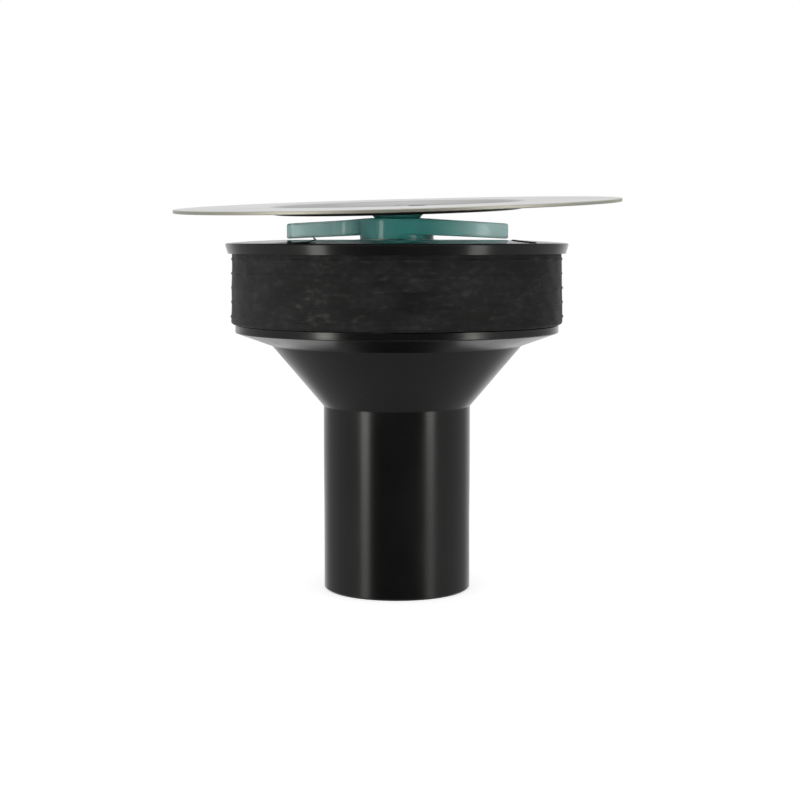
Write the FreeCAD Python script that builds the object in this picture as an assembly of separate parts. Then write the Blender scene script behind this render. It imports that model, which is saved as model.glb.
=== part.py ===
import FreeCAD, Part
import math
import os
from FreeCAD import Vector

# A floor drain that clamps itself into the end of a pipe and hides under a tile.
# Millimetres and degrees. The origin is the centre of the spigot's lower end, with +Z up.

# Spigot and funnel
SPIGOT_RADIUS = 20.0
SPIGOT_WALL = 2.0
SPIGOT_LENGTH = 50.3
SPIGOT_LEAD_IN = 0.5
CONE_TOP_RADIUS = 34.0
CONE_HEIGHT = 16.6
BEVEL_HEIGHT = 3.55
FUNNEL_WALL = 2.0
FLANGE_RADIUS = 43.85
FLANGE_HEIGHT = 2.2
FLANGE_EDGE_ROUND = 0.3

# Collar that stands inside the rubber sleeve
COLLAR_RADIUS = 38.0
COLLAR_WALL = 2.0

# Spider that holds the clamp bolt in the funnel
SPIDER_DROP = 12.4
SPIDER_HEIGHT = 10.0
SPIDER_RIB_COUNT = 4
SPIDER_RIB_WIDTH = 2.4
SPIDER_RIB_ANGLE = 45.0
SPIDER_BOSS_RADIUS = 8.5
SPIDER_BITE = 0.8

# Rubber sleeve
SLEEVE_HEIGHT = 19.05
SLEEVE_TOP_RADIUS = 44.55
SLEEVE_BOTTOM_RADIUS = 44.9
SLEEVE_CLEARANCE = 0.25
SLEEVE_CORNER = 0.9
LIP_COUNT = 5
LIP_PITCH = 3.85
LIP_DROP = 1.45
LIP_PROUD = 0.25
LIP_WIDTH = 1.2

# Domed clamp cover
RIM_BOTTOM_RADIUS = 45.7
RIM_TOP_RADIUS = 46.4
RIM_HEIGHT = 2.75
RIM_ROUND = 0.4
DOME_RISE = 0.92
PLATEAU_RADIUS = 26.5
COVER_WALL = 2.6
SKIRT_CLEARANCE = 0.3
SKIRT_WALL = 2.0
SKIRT_DEPTH = 8.0
SLOT_COUNT = 6
SLOT_RIM = 4.2
SLOT_CORNER = 1.6
SPOKE_WIDTH = 4.6
SPOKE_RIB_WIDTH = 2.4
SPOKE_RIB_DEPTH = 5.0
COVER_BOSS_WALL = 1.6
COVER_BOSS_DEPTH = 9.0

# Clamp bolt and nut
CLAMP_TRAVEL = 3.1
BOLT_RADIUS = 3.0
BOLT_HEAD_RADIUS = 6.8
BOLT_HEAD_HEIGHT = 3.3
BOLT_HEAD_EDGE = 0.8
BOLT_NECK_SIDE = 6.0
BOLT_NECK_LENGTH = 3.6
BOLT_HOLE_CLEARANCE = 0.2
BOLT_PAST_NUT = 1.5
BOLT_END_CHAMFER = 0.6
NUT_ACROSS_FLATS = 10.0
NUT_HEIGHT = 5.0
NUT_CLEARANCE = 0.15
THREAD_CLEARANCE = 0.08
END_GAP = 0.5

# Thrust washer under the wing nut
WASHER_THICKNESS = 1.1
WASHER_WIDTH = 3.0
WASHER_PROUD = 0.1
WASHER_CLEARANCE = 0.3

# Pinwheel wing nut
HUB_RADIUS = 10.0
STEM_WALL = 1.85
STEM_FLOOR = 3.5
STEM_CLEARANCE = 0.3
WING_REACH = 30.0
WING_STRAIGHT = 9.5
WING_CURVE = 32.0
WING_ROOT_THICKNESS = 5.2
WING_TIP_THICKNESS = 2.4
WING_ROOT_FILLET = 8.0
WING_ROOT_BOTTOM = 1.3
WING_TIP_BOTTOM = 0.1
WING_ROOT_TOP = 5.8
WING_TIP_TOP = 4.2
WING_EDGE_ROUND = 0.5

# Boss under the plate, with its peg in the wing nut
BOSS_SEAT_DEPTH = 1.4
BOSS_SEAT_CLEARANCE = 0.6
BOSS_NECK_RADIUS = 6.1
BOSS_FLARE = 1.68
PEG_RADIUS = 4.6
PEG_LENGTH = 3.5
PEG_CHAMFER = 0.5

# Pressed plate that carries the tile
PLATE_RADIUS = 60.4
PLATE_THICKNESS = 0.9
PLATE_EDGE_ROUND = 0.2
DISH_DEPTH = 1.35
DISH_FLOOR_RADIUS = 33.2
DISH_WALL_RUN = 1.6
DISH_BEND = 0.8
PLATE_HOLE_COUNT = 6
PLATE_HOLE_RADIUS = 3.25
PLATE_HOLE_CIRCLE = 27.0
PLATE_HOLE_START = 19.5
PLATE_LEAN = 2.77
PLATE_LEAN_TOWARDS = 236.3
LEAN_GAP = 0.03
PLATE_SHIFT = 0.3

# Screw that holds the plate to its boss
SCREW_HEAD_RADIUS = 4.25
SCREW_HEAD_HEIGHT = 1.15
SCREW_SHANK_RADIUS = 2.0
SCREW_LENGTH = 5.5
SCREW_CLEARANCE = 0.05
SCREW_SLOT_WIDTH = 0.9
SCREW_SLOT_LENGTH = 4.4
SCREW_SLOT_DEPTH = 0.7

# Heights of the stack, from the spigot's lower end upwards
CONE_TOP_Z = SPIGOT_LENGTH + CONE_HEIGHT
FLANGE_LOW_Z = CONE_TOP_Z + BEVEL_HEIGHT
FLANGE_TOP_Z = FLANGE_LOW_Z + FLANGE_HEIGHT
SLEEVE_TOP_Z = FLANGE_TOP_Z + SLEEVE_HEIGHT
COLLAR_TOP_Z = SLEEVE_TOP_Z - CLAMP_TRAVEL - END_GAP
RIM_TOP_Z = SLEEVE_TOP_Z + RIM_HEIGHT
PLATEAU_Z = RIM_TOP_Z + DOME_RISE
PANEL_LOW_Z = PLATEAU_Z - COVER_WALL
HUB_BASE_Z = PLATEAU_Z + WASHER_PROUD
WASHER_LOW_Z = HUB_BASE_Z - WASHER_THICKNESS
HUB_TOP_Z = HUB_BASE_Z + WING_ROOT_TOP
BOSS_SEAT_Z = HUB_TOP_Z - BOSS_SEAT_DEPTH
PEG_LOW_Z = BOSS_SEAT_Z - PEG_LENGTH
BOLT_END_Z = PEG_LOW_Z - CLAMP_TRAVEL - END_GAP
NUT_LOW_Z = BOLT_END_Z - BOLT_PAST_NUT - NUT_HEIGHT
STEM_LOW_Z = NUT_LOW_Z - STEM_FLOOR
SPIDER_LOW_Z = FLANGE_LOW_Z - SPIDER_DROP
SPIDER_TOP_Z = SPIDER_LOW_Z + SPIDER_HEIGHT
LEAN_LIFT = BOSS_NECK_RADIUS * math.sin(math.radians(PLATE_LEAN)) + LEAN_GAP
BOSS_TOP_Z = HUB_TOP_Z - LEAN_LIFT + BOSS_FLARE

# Radii that follow from the pieces that fit together
SPIGOT_BORE = SPIGOT_RADIUS - SPIGOT_WALL
COLLAR_BORE = COLLAR_RADIUS - COLLAR_WALL
SLEEVE_BORE = COLLAR_RADIUS + SLEEVE_CLEARANCE
SKIRT_RADIUS = COLLAR_BORE - SKIRT_CLEARANCE
SKIRT_BORE = SKIRT_RADIUS - SKIRT_WALL
POCKET_INRADIUS = NUT_ACROSS_FLATS / 2 + NUT_CLEARANCE
STEM_RADIUS = POCKET_INRADIUS / math.cos(math.pi / 6) + STEM_WALL
STEM_HOLE = STEM_RADIUS + STEM_CLEARANCE
WASHER_RADIUS = STEM_HOLE + WASHER_WIDTH
WASHER_RECESS = WASHER_RADIUS + WASHER_CLEARANCE
COVER_BOSS_RADIUS = WASHER_RECESS + COVER_BOSS_WALL
SLOT_INNER = COVER_BOSS_RADIUS + SLOT_CORNER
SLOT_OUTER = SKIRT_BORE - SLOT_RIM
BOLT_HOLE = BOLT_RADIUS + BOLT_HOLE_CLEARANCE
BOSS_SEAT_RADIUS = BOSS_NECK_RADIUS + BOSS_SEAT_CLEARANCE
BOSS_TOP_RADIUS = BOSS_NECK_RADIUS + BOSS_FLARE
SCREW_HOLE = SCREW_SHANK_RADIUS + SCREW_CLEARANCE

ORIGIN = Vector(0, 0, 0)
UP = Vector(0, 0, 1)
OVERSHOOT = 1.0
SAME_POINT = 1e-6


def section(radius, z):
    """A point of a half section: distance from the axis and height."""
    return Vector(radius, 0, z)


def polar(radius, angle, z=0.0):
    """A point at a radius and an angle about the axis."""
    turn = math.radians(angle)
    return Vector(radius * math.cos(turn), radius * math.sin(turn), z)


def outline(start, *steps):
    """A closed flat face. A step is a point for a line, or a pair for an arc through the first."""
    edges = []
    here = start
    for step in steps:
        if isinstance(step, tuple):
            through, there = step
            edges.append(Part.Arc(here, through, there).toShape())
        else:
            there = step
            edges.append(Part.LineSegment(here, there).toShape())
        here = there
    if here.distanceToPoint(start) > SAME_POINT:
        edges.append(Part.LineSegment(here, start).toShape())
    return Part.Face(Part.Wire(edges))


def rounded(before, corner, after, radius):
    """The steps that round a corner of an outline: a line to where the arc starts, and the arc."""
    back = (before - corner).normalize()
    on = (after - corner).normalize()
    half_turn = back.getAngle(on) / 2
    reach = radius / math.tan(half_turn)
    inwards = (back + on).normalize() * (radius / math.sin(half_turn) - radius)
    return [corner + back * reach, (corner + inwards, corner + on * reach)]


def spun(face):
    """The solid that a half section makes about the axis."""
    return face.revolve(ORIGIN, UP, 360)


def tube(outer, inner, low, high):
    """A round tube between two heights."""
    corners = [section(inner, low), section(outer, low), section(outer, high), section(inner, high)]
    return spun(outline(*corners))


def rod(radius, low, high):
    """A round bar between two heights."""
    return Part.makeCylinder(radius, high - low, Vector(0, 0, low))


def hexagon(inradius, low, high):
    """A six-sided bar between two heights."""
    corner = inradius / math.cos(math.pi / 6)
    points = [polar(corner, 60 * k, low) for k in range(7)]
    return Part.Face(Part.makePolygon(points)).extrude(Vector(0, 0, high - low))


def radial_bar(width, reach, low, high, angle):
    """A flat upright bar from the axis outwards."""
    bar = Part.makeBox(reach, width, high - low, Vector(0, -width / 2, low))
    bar.rotate(ORIGIN, UP, angle)
    return bar


def upright_edges(solid):
    """The edges of a solid that run along the axis."""
    picked = []
    for edge in solid.Edges:
        rise = edge.Vertexes[-1].Z - edge.Vertexes[0].Z
        if abs(abs(rise) - edge.Length) < SAME_POINT:
            picked.append(edge)
    return picked


def cap_fall(radius, rise, out):
    """How far a round cap has fallen at a distance from its middle."""
    curve = (radius ** 2 + rise ** 2) / (2 * rise)
    return curve - math.sqrt(curve ** 2 - out ** 2)


def cone_slope():
    """How much the funnel's cone widens for each unit of height."""
    return (CONE_TOP_RADIUS - SPIGOT_RADIUS) / CONE_HEIGHT


def cone_bore(z):
    """The inner radius of the funnel's cone at a height."""
    wall_across = FUNNEL_WALL * math.hypot(1, cone_slope())
    return SPIGOT_RADIUS + (z - SPIGOT_LENGTH) * cone_slope() - wall_across


def build_drain_body():
    """Spigot, cone, bevelled flange and collar as one moulding, with a spider for the bolt."""
    bevel_slope = BEVEL_HEIGHT / (FLANGE_RADIUS - CONE_TOP_RADIUS)
    bevel_rise = FUNNEL_WALL * math.hypot(1, bevel_slope)
    throat_z = SPIGOT_LENGTH + (SPIGOT_BORE - cone_bore(SPIGOT_LENGTH)) / cone_slope()
    ledge_z = CONE_TOP_Z + bevel_rise + bevel_slope * (COLLAR_BORE - CONE_TOP_RADIUS)
    corner_z = (ledge_z - bevel_slope * (COLLAR_BORE - cone_bore(0))) / (1 - bevel_slope * cone_slope())
    cone_top = section(CONE_TOP_RADIUS, CONE_TOP_Z)
    flange_low = section(FLANGE_RADIUS, FLANGE_LOW_Z)
    flange_top = section(FLANGE_RADIUS, FLANGE_TOP_Z)
    collar_foot = section(COLLAR_RADIUS, FLANGE_TOP_Z)
    shell = spun(outline(
        section(SPIGOT_BORE, 0),
        section(SPIGOT_RADIUS - SPIGOT_LEAD_IN, 0),
        section(SPIGOT_RADIUS, SPIGOT_LEAD_IN),
        section(SPIGOT_RADIUS, SPIGOT_LENGTH),
        cone_top,
        *rounded(cone_top, flange_low, flange_top, FLANGE_EDGE_ROUND),
        *rounded(flange_low, flange_top, collar_foot, FLANGE_EDGE_ROUND),
        collar_foot,
        section(COLLAR_RADIUS, COLLAR_TOP_Z),
        section(COLLAR_BORE, COLLAR_TOP_Z),
        section(COLLAR_BORE, ledge_z),
        section(cone_bore(corner_z), corner_z),
        section(SPIGOT_BORE, throat_z),
    ))
    reach = Part.makeCone(cone_bore(SPIDER_LOW_Z) + SPIDER_BITE, cone_bore(SPIDER_TOP_Z) + SPIDER_BITE,
                          SPIDER_HEIGHT, Vector(0, 0, SPIDER_LOW_Z))
    for k in range(SPIDER_RIB_COUNT):
        angle = SPIDER_RIB_ANGLE + 360 * k / SPIDER_RIB_COUNT
        rib = radial_bar(SPIDER_RIB_WIDTH, COLLAR_RADIUS, SPIDER_LOW_Z, SPIDER_TOP_Z, angle)
        shell = shell.fuse(rib.common(reach))
    shell = shell.fuse(rod(SPIDER_BOSS_RADIUS, SPIDER_LOW_Z, SPIDER_TOP_Z))
    neck_side = BOLT_NECK_SIDE + 2 * BOLT_HOLE_CLEARANCE
    neck_hole = Part.makeBox(neck_side, neck_side, BOLT_NECK_LENGTH + BOLT_HOLE_CLEARANCE + OVERSHOOT,
                             Vector(-neck_side / 2, -neck_side / 2, SPIDER_LOW_Z - OVERSHOOT))
    bolt_hole = rod(BOLT_HOLE, SPIDER_LOW_Z - OVERSHOOT, SPIDER_TOP_Z + OVERSHOOT)
    return shell.cut(neck_hole).cut(bolt_hole).removeSplitter()


def build_sealing_sleeve():
    """Thick rubber ring, slightly wider at the bottom, with fine lips round its outside."""
    def wall(z):
        share = (z - FLANGE_TOP_Z) / SLEEVE_HEIGHT
        return SLEEVE_BOTTOM_RADIUS + share * (SLEEVE_TOP_RADIUS - SLEEVE_BOTTOM_RADIUS)

    corner_z = FLANGE_TOP_Z + SLEEVE_CORNER
    corner_in = SLEEVE_CORNER * (1 - math.sqrt(0.5))
    steps = [
        section(wall(FLANGE_TOP_Z) - SLEEVE_CORNER, FLANGE_TOP_Z),
        (section(wall(corner_z) - corner_in, FLANGE_TOP_Z + corner_in), section(wall(corner_z), corner_z)),
    ]
    for k in reversed(range(LIP_COUNT)):
        lip_z = SLEEVE_TOP_Z - LIP_DROP - k * LIP_PITCH
        low, high = lip_z - LIP_WIDTH / 2, lip_z + LIP_WIDTH / 2
        steps.append(section(wall(low), low))
        steps.append((section(wall(lip_z) + LIP_PROUD, lip_z), section(wall(high), high)))
    steps.append(section(wall(SLEEVE_TOP_Z), SLEEVE_TOP_Z))
    steps.append(section(SLEEVE_BORE, SLEEVE_TOP_Z))
    return spun(outline(section(SLEEVE_BORE, FLANGE_TOP_Z), *steps))


def dome_z(radius):
    """Height of the cover's top: flat inside the plateau, then a round fall to the rim."""
    out = max(radius - PLATEAU_RADIUS, 0)
    return PLATEAU_Z - cap_fall(RIM_TOP_RADIUS - PLATEAU_RADIUS, DOME_RISE, out)


def build_clamp_cover():
    """Domed disc with a drafted rim, a skirt that slides in the collar, and slots between six spokes."""
    rim_in = RIM_TOP_RADIUS - RIM_ROUND
    round_in = RIM_ROUND * (1 - math.sqrt(0.5))
    dome_middle = (PLATEAU_RADIUS + rim_in) / 2
    boss_low_z = PLATEAU_Z - COVER_BOSS_DEPTH
    cover = spun(outline(
        section(STEM_HOLE, boss_low_z),
        section(COVER_BOSS_RADIUS, boss_low_z),
        section(COVER_BOSS_RADIUS, PANEL_LOW_Z),
        section(SKIRT_BORE, PANEL_LOW_Z),
        section(SKIRT_BORE, SLEEVE_TOP_Z - SKIRT_DEPTH),
        section(SKIRT_RADIUS, SLEEVE_TOP_Z - SKIRT_DEPTH),
        section(SKIRT_RADIUS, SLEEVE_TOP_Z),
        section(RIM_BOTTOM_RADIUS, SLEEVE_TOP_Z),
        section(RIM_TOP_RADIUS, RIM_TOP_Z - RIM_ROUND),
        (section(RIM_TOP_RADIUS - round_in, RIM_TOP_Z - round_in), section(rim_in, dome_z(rim_in))),
        (section(dome_middle, dome_z(dome_middle)), section(PLATEAU_RADIUS, PLATEAU_Z)),
        section(WASHER_RECESS, PLATEAU_Z),
        section(WASHER_RECESS, WASHER_LOW_Z),
        section(STEM_HOLE, WASHER_LOW_Z),
    ))
    spoke_pitch = 360 / SLOT_COUNT
    inner_turn = math.degrees(math.asin(SPOKE_WIDTH / 2 / SLOT_INNER))
    outer_turn = math.degrees(math.asin(SPOKE_WIDTH / 2 / SLOT_OUTER))
    slot_low_z = PANEL_LOW_Z - OVERSHOOT
    slot = outline(
        polar(SLOT_INNER, inner_turn, slot_low_z),
        polar(SLOT_OUTER, outer_turn, slot_low_z),
        (polar(SLOT_OUTER, spoke_pitch / 2, slot_low_z),
         polar(SLOT_OUTER, spoke_pitch - outer_turn, slot_low_z)),
        polar(SLOT_INNER, spoke_pitch - inner_turn, slot_low_z),
        (polar(SLOT_INNER, spoke_pitch / 2, slot_low_z), polar(SLOT_INNER, inner_turn, slot_low_z)),
    ).extrude(Vector(0, 0, COVER_WALL + 2 * OVERSHOOT))
    slot = slot.makeFillet(SLOT_CORNER, upright_edges(slot))
    for k in range(SLOT_COUNT):
        angle = spoke_pitch * k
        opening = slot.copy()
        opening.rotate(ORIGIN, UP, angle)
        cover = cover.cut(opening)
        rib = radial_bar(SPOKE_RIB_WIDTH, SKIRT_BORE + SKIRT_WALL / 2, PANEL_LOW_Z - SPOKE_RIB_DEPTH,
                         PANEL_LOW_Z + COVER_WALL / 2, angle)
        cover = cover.fuse(rib.cut(rod(COVER_BOSS_RADIUS - COVER_BOSS_WALL, 0, RIM_TOP_Z)))
    return cover.removeSplitter()


def build_clamp_bolt():
    """Bolt with a low round head, and a square neck that the spider keeps from turning."""
    head_low_z = SPIDER_LOW_Z - BOLT_HEAD_HEIGHT
    crown = BOLT_HEAD_HEIGHT - BOLT_HEAD_EDGE
    crown_z = head_low_z + cap_fall(BOLT_HEAD_RADIUS, crown, BOLT_HEAD_RADIUS / 2)
    bolt = spun(outline(
        section(0, head_low_z),
        (section(BOLT_HEAD_RADIUS / 2, crown_z), section(BOLT_HEAD_RADIUS, head_low_z + crown)),
        section(BOLT_HEAD_RADIUS, SPIDER_LOW_Z),
        section(BOLT_RADIUS, SPIDER_LOW_Z),
        section(BOLT_RADIUS, BOLT_END_Z - BOLT_END_CHAMFER),
        section(BOLT_RADIUS - BOLT_END_CHAMFER, BOLT_END_Z),
        section(0, BOLT_END_Z),
    ))
    neck = Part.makeBox(BOLT_NECK_SIDE, BOLT_NECK_SIDE, BOLT_NECK_LENGTH,
                        Vector(-BOLT_NECK_SIDE / 2, -BOLT_NECK_SIDE / 2, SPIDER_LOW_Z))
    return bolt.fuse(neck).removeSplitter()


def build_thrust_washer():
    """Flat ring in the cover's recess, on which the wing nut turns."""
    return tube(WASHER_RADIUS, STEM_HOLE, WASHER_LOW_Z, HUB_BASE_Z)


def build_clamp_nut():
    """Six-sided nut that sits in the wing nut's pocket, chamfered at both faces."""
    nut_high_z = NUT_LOW_Z + NUT_HEIGHT
    corner = NUT_ACROSS_FLATS / 2 / math.cos(math.pi / 6)
    flat = NUT_ACROSS_FLATS / 2
    chamfer = (corner - flat) * math.tan(math.radians(30))
    envelope = spun(outline(
        section(0, NUT_LOW_Z),
        section(flat, NUT_LOW_Z),
        section(corner, NUT_LOW_Z + chamfer),
        section(corner, nut_high_z - chamfer),
        section(flat, nut_high_z),
        section(0, nut_high_z),
    ))
    blank = hexagon(flat, NUT_LOW_Z, nut_high_z).common(envelope)
    return blank.cut(rod(BOLT_RADIUS + THREAD_CLEARANCE, NUT_LOW_Z - OVERSHOOT, nut_high_z + OVERSHOOT))


def wing_plan(low):
    """Plan of hub and wings: each wing leaves the hub on a tangent, curves back, and fillets behind."""
    curve_centre = Vector(WING_STRAIGHT, WING_CURVE - HUB_RADIUS, low)
    back_y = WING_ROOT_THICKNESS - HUB_RADIUS
    fillet_y = back_y + WING_ROOT_FILLET
    fillet_centre = Vector(math.sqrt((HUB_RADIUS + WING_ROOT_FILLET) ** 2 - fillet_y ** 2), fillet_y, low)

    def on_curve(x, inset):
        lean = math.asin((x - WING_STRAIGHT) / WING_CURVE)
        reach = WING_CURVE - inset
        return curve_centre + Vector(reach * math.sin(lean), -reach * math.cos(lean), 0)

    def on_fillet(angle):
        return fillet_centre + polar(WING_ROOT_FILLET, angle)

    hub_angle = math.degrees(math.atan2(fillet_centre.y, fillet_centre.x))
    fillet_end = hub_angle - 180
    middle_x = (WING_STRAIGHT + WING_REACH) / 2
    back_middle_x = (fillet_centre.x + WING_REACH) / 2 + WING_TIP_THICKNESS / 2
    back_inset = (WING_ROOT_THICKNESS + WING_TIP_THICKNESS) / 2 - WING_TIP_THICKNESS / 4
    front_start = Vector(0, -HUB_RADIUS, low)
    half = [
        Vector(WING_STRAIGHT, -HUB_RADIUS, low),
        (on_curve(middle_x, 0), on_curve(WING_REACH, 0)),
        on_curve(WING_REACH, WING_TIP_THICKNESS),
        (on_curve(back_middle_x, back_inset), on_fillet(-90)),
        (on_fillet((fillet_end - 90) / 2), on_fillet(fillet_end)),
        (polar(HUB_RADIUS, (hub_angle + 90) / 2, low), Vector(0, HUB_RADIUS, low)),
    ]

    def turned(step):
        if isinstance(step, tuple):
            return tuple(turned(point) for point in step)
        return Vector(-step.x, -step.y, step.z)

    other_half = [turned(step) for step in half]
    closing = other_half[-1]
    return outline(front_start, *(half + other_half[:-1]), (closing[0], front_start))


def build_wing_nut():
    """Two curved wings on a hub, a stem through the cover, and a pocket for the nut and the peg."""
    tip = WING_REACH + OVERSHOOT
    blank = wing_plan(STEM_LOW_Z).extrude(Vector(0, 0, HUB_TOP_Z + OVERSHOOT - STEM_LOW_Z))
    root_low_z = HUB_BASE_Z + WING_ROOT_BOTTOM
    tip_low_z = HUB_BASE_Z + WING_TIP_BOTTOM
    tip_top_z = HUB_BASE_Z + WING_TIP_TOP
    envelope = spun(outline(
        section(0, root_low_z),
        section(HUB_RADIUS, root_low_z),
        section(tip, tip_low_z),
        section(tip, tip_top_z),
        section(BOSS_SEAT_RADIUS, HUB_TOP_Z),
        section(0, HUB_TOP_Z),
    ))
    wings = blank.common(envelope)
    wings = wings.makeFillet(WING_EDGE_ROUND, wing_rim_edges(wings))
    nut = wings.fuse(rod(HUB_RADIUS, HUB_BASE_Z, root_low_z + WING_EDGE_ROUND))
    nut = nut.fuse(rod(STEM_RADIUS, STEM_LOW_Z, HUB_BASE_Z + OVERSHOOT))
    nut = nut.cut(hexagon(POCKET_INRADIUS, NUT_LOW_Z, HUB_TOP_Z + OVERSHOOT))
    nut = nut.cut(rod(BOSS_SEAT_RADIUS, BOSS_SEAT_Z, HUB_TOP_Z + OVERSHOOT))
    nut = nut.cut(rod(BOLT_HOLE, STEM_LOW_Z - OVERSHOOT, NUT_LOW_Z + OVERSHOOT))
    return nut.removeSplitter()


def wing_rim_edges(wings):
    """The upper and lower edges round the wings, away from the hub's flat centre."""
    upright = upright_edges(wings)
    picked = []
    for edge in wings.Edges:
        outside = math.hypot(edge.CenterOfMass.x, edge.CenterOfMass.y) > BOSS_SEAT_RADIUS
        if outside and not any(edge.isSame(other) for other in upright):
            picked.append(edge)
    return picked


def leaned(shape):
    """Tip a piece of the plate group over, so that its neck rests on one side of its loose seat."""
    shape.rotate(Vector(0, 0, BOSS_SEAT_Z), polar(1, PLATE_LEAN_TOWARDS + 90), PLATE_LEAN)
    shape.translate(Vector(PLATE_SHIFT, 0, LEAN_LIFT))
    return shape


def build_plate_boss():
    """Flared boss under the dish, with a loose peg that drops into the wing nut's pocket."""
    boss = spun(outline(
        section(0, PEG_LOW_Z),
        section(PEG_RADIUS - PEG_CHAMFER, PEG_LOW_Z),
        section(PEG_RADIUS, PEG_LOW_Z + PEG_CHAMFER),
        section(PEG_RADIUS, BOSS_SEAT_Z),
        section(BOSS_NECK_RADIUS, BOSS_SEAT_Z),
        section(BOSS_NECK_RADIUS, BOSS_TOP_Z - BOSS_FLARE),
        section(BOSS_TOP_RADIUS, BOSS_TOP_Z),
        section(0, BOSS_TOP_Z),
    ))
    hole_low_z = BOSS_TOP_Z + PLATE_THICKNESS - SCREW_LENGTH - SCREW_CLEARANCE
    return leaned(boss.cut(rod(SCREW_HOLE, hole_low_z, BOSS_TOP_Z + OVERSHOOT)))


def build_tile_plate():
    """Pressed disc with a shallow dish for the adhesive, holes in its floor and a rounded rim."""
    floor_low = BOSS_TOP_Z
    floor_high = floor_low + PLATE_THICKNESS
    margin_low = floor_low + DISH_DEPTH
    margin_high = margin_low + PLATE_THICKNESS
    wall_top = DISH_FLOOR_RADIUS + DISH_WALL_RUN
    under = PLATE_THICKNESS * math.tan(math.atan2(DISH_DEPTH, DISH_WALL_RUN) / 2)
    outer_bend = DISH_BEND + PLATE_THICKNESS
    corners = [
        (section(SCREW_HOLE, floor_low), 0),
        (section(DISH_FLOOR_RADIUS + under, floor_low), outer_bend),
        (section(wall_top + under, margin_low), DISH_BEND),
        (section(PLATE_RADIUS, margin_low), PLATE_EDGE_ROUND),
        (section(PLATE_RADIUS, margin_high), PLATE_EDGE_ROUND),
        (section(wall_top, margin_high), outer_bend),
        (section(DISH_FLOOR_RADIUS, floor_high), DISH_BEND),
        (section(SCREW_HOLE, floor_high), 0),
    ]
    steps = []
    for k in range(1, len(corners) - 1):
        corner, radius = corners[k]
        steps += rounded(corners[k - 1][0], corner, corners[k + 1][0], radius)
    plate = spun(outline(corners[0][0], *steps, corners[-1][0]))
    for k in range(PLATE_HOLE_COUNT):
        angle = PLATE_HOLE_START + 360 * k / PLATE_HOLE_COUNT
        centre = polar(PLATE_HOLE_CIRCLE, angle, floor_low - OVERSHOOT)
        plate = plate.cut(Part.makeCylinder(PLATE_HOLE_RADIUS, PLATE_THICKNESS + 2 * OVERSHOOT, centre))
    return leaned(plate)


def build_plate_screw():
    """Low-headed screw with a crossed recess, sunk in the dish."""
    head_low_z = BOSS_TOP_Z + PLATE_THICKNESS
    head_high_z = head_low_z + SCREW_HEAD_HEIGHT
    crown_z = head_high_z - cap_fall(SCREW_HEAD_RADIUS, SCREW_HEAD_HEIGHT, SCREW_HEAD_RADIUS / 2)
    screw = spun(outline(
        section(0, head_low_z - SCREW_LENGTH),
        section(SCREW_SHANK_RADIUS, head_low_z - SCREW_LENGTH),
        section(SCREW_SHANK_RADIUS, head_low_z),
        section(SCREW_HEAD_RADIUS, head_low_z),
        (section(SCREW_HEAD_RADIUS / 2, crown_z), section(0, head_high_z)),
    ))
    for size_x, size_y in ((SCREW_SLOT_LENGTH, SCREW_SLOT_WIDTH), (SCREW_SLOT_WIDTH, SCREW_SLOT_LENGTH)):
        corner = Vector(-size_x / 2, -size_y / 2, head_high_z - SCREW_SLOT_DEPTH)
        screw = screw.cut(Part.makeBox(size_x, size_y, SCREW_SLOT_DEPTH + OVERSHOOT, corner))
    return leaned(screw)


PIECES = {
    "drain_body": build_drain_body,
    "sealing_sleeve": build_sealing_sleeve,
    "clamp_cover": build_clamp_cover,
    "clamp_bolt": build_clamp_bolt,
    "thrust_washer": build_thrust_washer,
    "clamp_nut": build_clamp_nut,
    "wing_nut": build_wing_nut,
    "plate_boss": build_plate_boss,
    "plate_screw": build_plate_screw,
    "tile_plate": build_tile_plate,
}

os.makedirs("parts", exist_ok=True)
for name, build in PIECES.items():
    piece = build()
    piece.exportStep(os.path.join("parts", name + ".step"))
    box = piece.BoundBox
    print(f"{name}: {len(piece.Solids)} solid, valid {piece.isValid()}, {piece.Volume:.0f} mm3,",
          f"z {box.ZMin:.2f} to {box.ZMax:.2f}, x {box.XMin:.2f} to {box.XMax:.2f}")
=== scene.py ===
import math

import bmesh
import bpy
import numpy as np
from bpy.props import FloatProperty, FloatVectorProperty, IntProperty, PointerProperty
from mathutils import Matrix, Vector


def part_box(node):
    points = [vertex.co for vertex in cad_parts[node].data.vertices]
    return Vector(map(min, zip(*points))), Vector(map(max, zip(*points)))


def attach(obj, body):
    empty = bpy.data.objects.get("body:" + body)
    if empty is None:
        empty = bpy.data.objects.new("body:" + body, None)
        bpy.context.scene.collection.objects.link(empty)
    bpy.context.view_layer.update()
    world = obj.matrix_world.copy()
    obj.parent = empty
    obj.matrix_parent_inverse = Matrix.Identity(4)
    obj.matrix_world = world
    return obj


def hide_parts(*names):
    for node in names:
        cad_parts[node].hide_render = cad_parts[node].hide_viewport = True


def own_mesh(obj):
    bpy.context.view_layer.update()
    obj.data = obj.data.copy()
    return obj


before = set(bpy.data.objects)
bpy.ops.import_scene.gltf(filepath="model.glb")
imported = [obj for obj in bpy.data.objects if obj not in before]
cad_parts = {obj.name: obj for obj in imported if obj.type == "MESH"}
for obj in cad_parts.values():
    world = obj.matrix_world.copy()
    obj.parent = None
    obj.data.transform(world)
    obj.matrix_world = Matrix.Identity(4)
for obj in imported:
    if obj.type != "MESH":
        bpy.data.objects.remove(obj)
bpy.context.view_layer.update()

bl_info = {
    "name": "Tileable floor drain",
    "version": (1, 0, 0),
    "blender": (4, 5, 0),
    "location": "View3D > Sidebar > Drain",
    "description": "Finishes and fine pieces of a floor drain that clamps into a pipe and carries a tile",
    "category": "Object",
}

SLEEVE_LOW, SLEEVE_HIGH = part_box("sealing_sleeve")
BOLT_LOW, BOLT_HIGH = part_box("clamp_bolt")

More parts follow.
